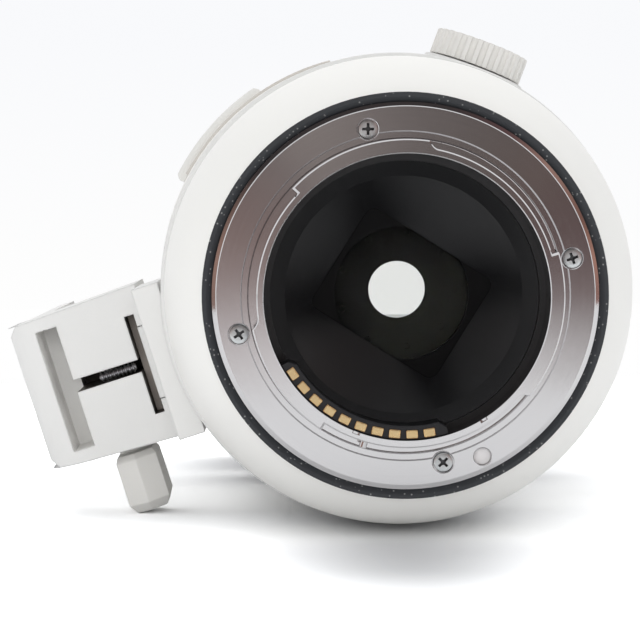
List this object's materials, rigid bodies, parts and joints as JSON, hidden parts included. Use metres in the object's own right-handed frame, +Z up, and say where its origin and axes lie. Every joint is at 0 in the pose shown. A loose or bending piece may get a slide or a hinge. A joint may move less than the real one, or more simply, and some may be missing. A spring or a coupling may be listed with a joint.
{
  "type": "camera zoom lens",
  "caption": "Long zoom lens with a bayonet mount, turning collar with a clamped foot, ribbed zoom and focus rings and an extending front.",
  "frame": {"origin": "centre of the mount flange's rear face, on the optical axis", "axes": "+Y along the optical axis towards the front of the lens, +Z up, +X to the right seen from the camera side"},
  "size_m": [0.1126, 0.2097, 0.0888],
  "materials": {
    "flange_chrome": "polished",
    "screw_steel": "polished",
    "seal_rubber": "matte",
    "black_plastic": "matte",
    "gold_contact": "polished",
    "white_paint": "satin",
    "grey_paint": "satin",
    "black_metal": "anodised",
    "grip_rubber": "matte",
    "board_green": "matte",
    "glass": "coated",
    "steel": "ground",
    "blade_black": "matte"
  },
  "bodies": {
    "lens_body": {"mount_flange": "flange_chrome", "mount_screws": "screw_steel", "mount_seal": "seal_rubber", "contact_block": "black_plastic", "contact_pins": "gold_contact", "rear_baffle": "black_plastic", "rear_shell": "white_paint", "main_barrel": "white_paint", "barrel_pad": "grey_paint", "switch_panel": "white_paint", "button_band": "white_paint", "guide_tube": "black_metal", "cam_retainer": "black_metal", "dust_seal": "grip_rubber", "core_housing": "black_plastic", "main_board": "board_green", "rear_cell": "black_plastic", "rear_lens": "glass", "iris_base": "black_metal", "iris_cover": "black_metal", "middle_cell": "black_metal", "guide_rods": "steel", "focus_magnets": "steel"},
    "collar": {"tripod_collar": "white_paint"},
    "collar_knob": {"collar_knob": "white_paint"},
    "foot": {"tripod_foot": "white_paint"},
    "clamp_knob": {"clamp_knob": "white_paint"},
    "focus_ring": {"focus_ring": "black_metal", "focus_grip": "grip_rubber"},
    "tension_ring": {"tension_ring": "black_metal"},
    "zoom_ring": {"zoom_ring": "black_metal", "zoom_grip": "grip_rubber", "cam_barrel": "black_metal"},
    "front_group": {"front_tube": "white_paint", "front_followers": "steel", "front_lens": "glass", "front_head": "black_metal", "trim_ring": "black_plastic"},
    "zoom_group": {"zoom_carriage": "black_metal", "zoom_followers": "steel", "zoom_lens": "glass"},
    "focus_group": {"focus_carriage": "black_metal", "focus_lens": "glass"},
    "iris_ring": {"iris_ring": "black_metal"},
    "iris_blade_1": {"iris_blade_1": "blade_black"},
    "iris_blade_2": {"iris_blade_2": "blade_black"},
    "iris_blade_3": {"iris_blade_3": "blade_black"},
    "iris_blade_4": {"iris_blade_4": "blade_black"},
    "iris_blade_5": {"iris_blade_5": "blade_black"},
    "iris_blade_6": {"iris_blade_6": "blade_black"},
    "iris_blade_7": {"iris_blade_7": "blade_black"},
    "iris_blade_8": {"iris_blade_8": "blade_black"},
    "iris_blade_9": {"iris_blade_9": "blade_black"},
    "slide_switch_1": {"slide_switch_1": "black_plastic"},
    "slide_switch_2": {"slide_switch_2": "black_plastic"},
    "slide_switch_3": {"slide_switch_3": "black_plastic"},
    "slide_switch_4": {"slide_switch_4": "black_plastic"},
    "hold_button_1": {"hold_button_1": "black_plastic"},
    "hold_button_2": {"hold_button_2": "black_plastic"},
    "hold_button_3": {"hold_button_3": "black_plastic"}
  },
  "joints": [
    {"name": "collar_turn", "type": "hinge", "parent": "lens_body", "child": "collar", "pos_m": [0, 0.0417, 0], "axis": [0, 1, 0], "continuous": true},
    {"name": "collar_lock", "type": "hinge", "parent": "collar", "child": "collar_knob", "pos_m": [0.01471, 0.0417, 0.03934], "axis": [0.3502, 0, 0.9367], "range_deg": [0, 360]},
    {"name": "foot_release", "type": "slide", "parent": "collar", "child": "foot", "axis": [0, -1, 0], "range_m": [0, 0.027]},
    {"name": "foot_clamp", "type": "hinge", "parent": "foot", "child": "clamp_knob", "pos_m": [-0.04954, 0.0575, -0.01581], "axis": [0.304, 0, -0.9527], "range_deg": [0, 360]},
    {"name": "focus_turn", "type": "hinge", "parent": "lens_body", "child": "focus_ring", "pos_m": [0, 0.122, 0], "axis": [0, 1, 0], "continuous": true},
    {"name": "tension_turn", "type": "hinge", "parent": "lens_body", "child": "tension_ring", "pos_m": [0, 0.1481, 0], "axis": [0, 1, 0], "range_deg": [0, 60]},
    {"name": "zoom_turn", "type": "hinge", "parent": "lens_body", "child": "zoom_ring", "pos_m": [0, 0.1684, 0], "axis": [0, 1, 0], "range_deg": [0, 75]},
    {"name": "front_extend", "type": "slide", "parent": "lens_body", "child": "front_group", "axis": [0, 1, 0], "range_m": [0, 0.08]},
    {"name": "zoom_group_slide", "type": "slide", "parent": "lens_body", "child": "zoom_group", "axis": [0, 1, 0], "range_m": [0, 0.014]},
    {"name": "focus_group_slide", "type": "slide", "parent": "lens_body", "child": "focus_group", "axis": [0, 1, 0], "range_m": [-0.006, 0.006]},
    {"name": "iris_turn", "type": "hinge", "parent": "lens_body", "child": "iris_ring", "pos_m": [0, 0.0308, 0], "axis": [0, -1, 0], "range_deg": [0, 26]},
    {"name": "iris_blade_1_swing", "type": "hinge", "parent": "lens_body", "child": "iris_blade_1", "pos_m": [0.0095, 0.0282, 0], "axis": [0, -1, 0], "range_deg": [0, 24]},
    {"name": "iris_blade_2_swing", "type": "hinge", "parent": "lens_body", "child": "iris_blade_2", "pos_m": [0.00728, 0.0282, 0.00611], "axis": [0, -1, 0], "range_deg": [0, 24]},
    {"name": "iris_blade_3_swing", "type": "hinge", "parent": "lens_body", "child": "iris_blade_3", "pos_m": [0.00165, 0.0282, 0.00936], "axis": [0, -1, 0], "range_deg": [0, 24]},
    {"name": "iris_blade_4_swing", "type": "hinge", "parent": "lens_body", "child": "iris_blade_4", "pos_m": [-0.00475, 0.0282, 0.00823], "axis": [0, -1, 0], "range_deg": [0, 24]},
    {"name": "iris_blade_5_swing", "type": "hinge", "parent": "lens_body", "child": "iris_blade_5", "pos_m": [-0.00893, 0.0282, 0.00325], "axis": [0, -1, 0], "range_deg": [0, 24]},
    {"name": "iris_blade_6_swing", "type": "hinge", "parent": "lens_body", "child": "iris_blade_6", "pos_m": [-0.00893, 0.0282, -0.00325], "axis": [0, -1, 0], "range_deg": [0, 24]},
    {"name": "iris_blade_7_swing", "type": "hinge", "parent": "lens_body", "child": "iris_blade_7", "pos_m": [-0.00475, 0.0282, -0.00823], "axis": [0, -1, 0], "range_deg": [0, 24]},
    {"name": "iris_blade_8_swing", "type": "hinge", "parent": "lens_body", "child": "iris_blade_8", "pos_m": [0.00165, 0.0282, -0.00936], "axis": [0, -1, 0], "range_deg": [0, 24]},
    {"name": "iris_blade_9_swing", "type": "hinge", "parent": "lens_body", "child": "iris_blade_9", "pos_m": [0.00728, 0.0282, -0.00611], "axis": [0, -1, 0], "range_deg": [0, 24]},
    {"name": "slide_switch_1_travel", "type": "slide", "parent": "lens_body", "child": "slide_switch_1", "axis": [0, 1, 0], "range_m": [0, 0.004]},
    {"name": "slide_switch_2_travel", "type": "slide", "parent": "lens_body", "child": "slide_switch_2", "axis": [0, 1, 0], "range_m": [0, 0.004]},
    {"name": "slide_switch_3_travel", "type": "slide", "parent": "lens_body", "child": "slide_switch_3", "axis": [0, 1, 0], "range_m": [0, 0.004]},
    {"name": "slide_switch_4_travel", "type": "slide", "parent": "lens_body", "child": "slide_switch_4", "axis": [0, 1, 0], "range_m": [0, 0.004]},
    {"name": "hold_button_1_press", "type": "slide", "parent": "lens_body", "child": "hold_button_1", "axis": [0.8572, 0, -0.515], "range_m": [0, 0.0008], "stiffness_N_per_m": 400},
    {"name": "hold_button_2_press", "type": "slide", "parent": "lens_body", "child": "hold_button_2", "axis": [-0.515, 0, -0.8572], "range_m": [0, 0.0008], "stiffness_N_per_m": 400},
    {"name": "hold_button_3_press", "type": "slide", "parent": "lens_body", "child": "hold_button_3", "axis": [-0.8572, 0, 0.515], "range_m": [0, 0.0008], "stiffness_N_per_m": 400}
  ],
  "couplings": [
    {"joint": "front_extend", "follows": "zoom_turn", "m_per_rad": 0.0611},
    {"joint": "zoom_group_slide", "follows": "zoom_turn", "m_per_rad": 0.01069},
    {"joint": "iris_blade_1_swing", "follows": "iris_turn", "ratio": 0.923},
    {"joint": "iris_blade_2_swing", "follows": "iris_turn", "ratio": 0.923},
    {"joint": "iris_blade_3_swing", "follows": "iris_turn", "ratio": 0.923},
    {"joint": "iris_blade_4_swing", "follows": "iris_turn", "ratio": 0.923},
    {"joint": "iris_blade_5_swing", "follows": "iris_turn", "ratio": 0.923},
    {"joint": "iris_blade_6_swing", "follows": "iris_turn", "ratio": 0.923},
    {"joint": "iris_blade_7_swing", "follows": "iris_turn", "ratio": 0.923},
    {"joint": "iris_blade_8_swing", "follows": "iris_turn", "ratio": 0.923},
    {"joint": "iris_blade_9_swing", "follows": "iris_turn", "ratio": 0.923}
  ]
}
